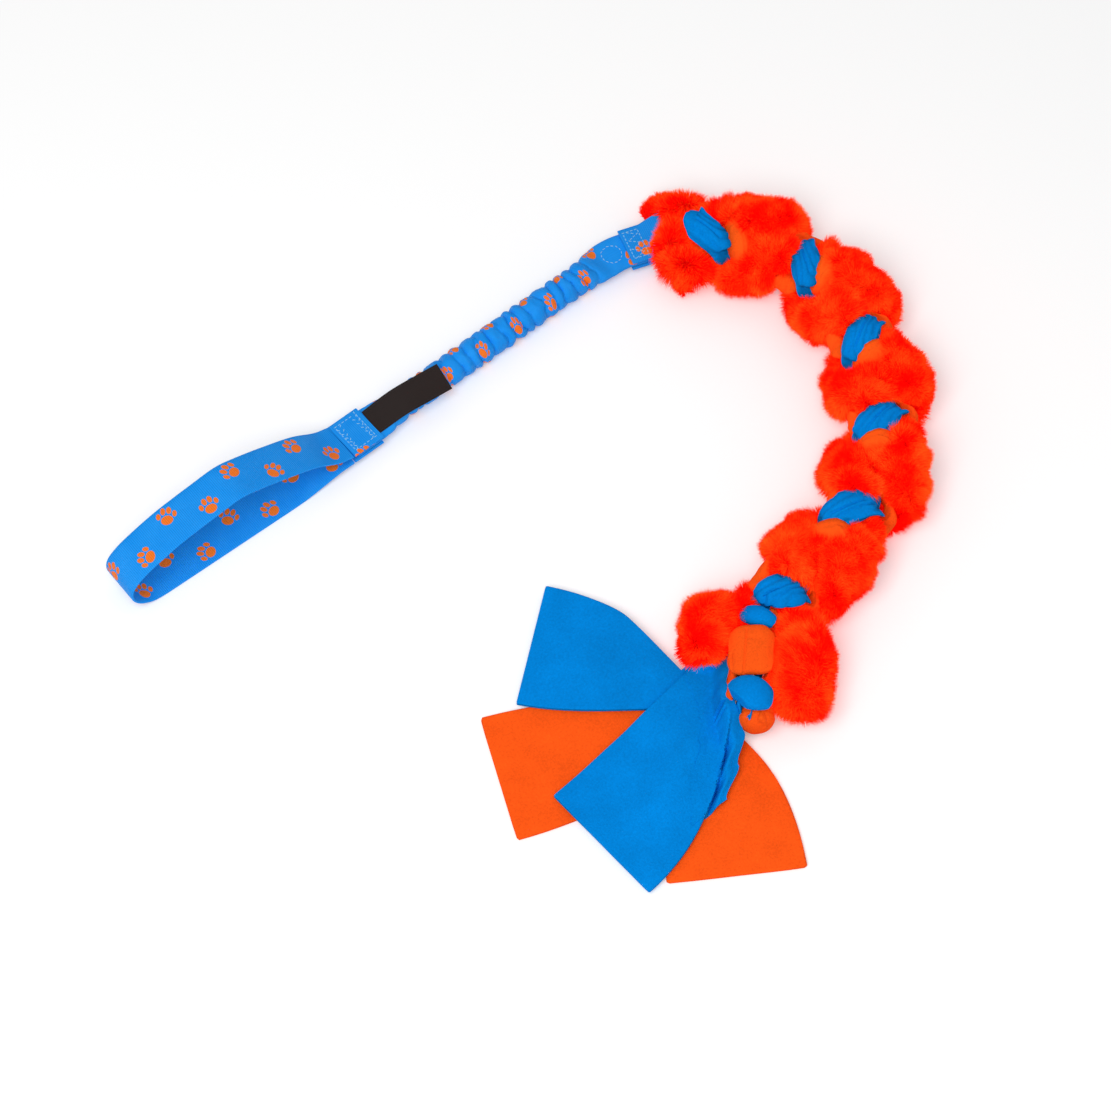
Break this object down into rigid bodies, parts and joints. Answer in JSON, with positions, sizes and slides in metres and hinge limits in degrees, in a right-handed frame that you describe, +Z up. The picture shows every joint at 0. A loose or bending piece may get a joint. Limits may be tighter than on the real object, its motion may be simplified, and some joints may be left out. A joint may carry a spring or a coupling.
{
  "type": "braided tug toy",
  "caption": "Braided fleece and faux-fur tug toy with loose tails and a webbing hand loop on a gathered bungee.",
  "frame": {"origin": "centre of the toy's box, on the surface that it lies on", "axes": "+X runs along the bungee from the hand loop towards the braid, +Y is to its left, +Z is up"},
  "size_m": [0.447, 0.3708, 0.045],
  "materials": {
    "blue_webbing": "printed polyester webbing, slight sheen",
    "thread": "spun polyester thread",
    "woven_black": "woven label, matt, left bare",
    "elastic": "braided elastic cord, hidden in the sleeve",
    "blue_fleece": "anti-pill polyester fleece, matt",
    "orange_fleece": "anti-pill polyester fleece, matt",
    "orange_fur": "short-pile faux fur"
  },
  "bodies": {
    "braid": {"blue_strand_a": "blue_fleece", "blue_strand_b": "blue_fleece", "orange_strand_a": "orange_fleece", "orange_strand_b": "orange_fleece", "fur_strip_a": "orange_fur", "fur_strip_b": "orange_fur", "blue_bight": "blue_fleece", "orange_bight": "orange_fleece", "fur_bight": "orange_fur", "knot_blue_band": "blue_fleece", "knot_orange_band": "orange_fleece", "knot_blue_end": "blue_fleece"},
    "bungee": {"eye_webbing": "blue_webbing", "eye_stitching_top": "thread", "eye_stitching_bottom": "thread", "bungee_sleeve": "blue_webbing", "elastic_core": "elastic", "sleeve_end_stitching_top": "thread", "sleeve_end_stitching_bottom": "thread"},
    "sewn_joint": {"handle_end_top": "blue_webbing", "handle_end_bottom": "blue_webbing", "handle_joint_stitching_top": "thread", "handle_joint_stitching_bottom": "thread", "label": "woven_black", "label_stitching": "thread"},
    "hand_loop": {"handle_loop": "blue_webbing"},
    "right_tail": {"orange_tail_right": "orange_fleece"},
    "left_tail": {"orange_tail_left": "orange_fleece"},
    "blue_left_tail": {"blue_tail_left": "blue_fleece"},
    "front_tail": {"blue_tail_front": "blue_fleece"}
  },
  "joints": [
    {"name": "eye_hinge", "type": "hinge", "parent": "braid", "child": "bungee", "pos_m": [0.15503, 0.15851, 0.009], "axis": [0.3256, 0.9455, 0], "range_deg": [0, 75]},
    {"name": "bungee_slide", "type": "slide", "parent": "bungee", "child": "sewn_joint", "axis": [-1, 0, 0], "range_m": [0, 0.1], "stiffness_N_per_m": 200, "deforming": ["bungee_sleeve", "elastic_core"]},
    {"name": "loop_hinge", "type": "hinge", "parent": "sewn_joint", "child": "hand_loop", "pos_m": [-0.07488, 0.16851, 0.0126], "axis": [0, 1, 0], "range_deg": [0, 90]},
    {"name": "right_tail_hinge", "type": "hinge", "parent": "braid", "child": "right_tail", "pos_m": [-0.02427, -0.10427, 0.0132], "axis": [0, 1, 0], "range_deg": [0, 15]},
    {"name": "left_tail_hinge", "type": "hinge", "parent": "right_tail", "child": "left_tail", "pos_m": [-0.02427, -0.10427, 0.0132], "axis": [0, 1, 0], "range_deg": [0, 15]},
    {"name": "blue_left_tail_hinge", "type": "hinge", "parent": "left_tail", "child": "blue_left_tail", "pos_m": [-0.02427, -0.10427, 0.0132], "axis": [0, 1, 0], "range_deg": [0, 15]},
    {"name": "front_tail_hinge", "type": "hinge", "parent": "blue_left_tail", "child": "front_tail", "pos_m": [-0.02427, -0.10427, 0.0132], "axis": [0, 1, 0], "range_deg": [0, 35]}
  ]
}
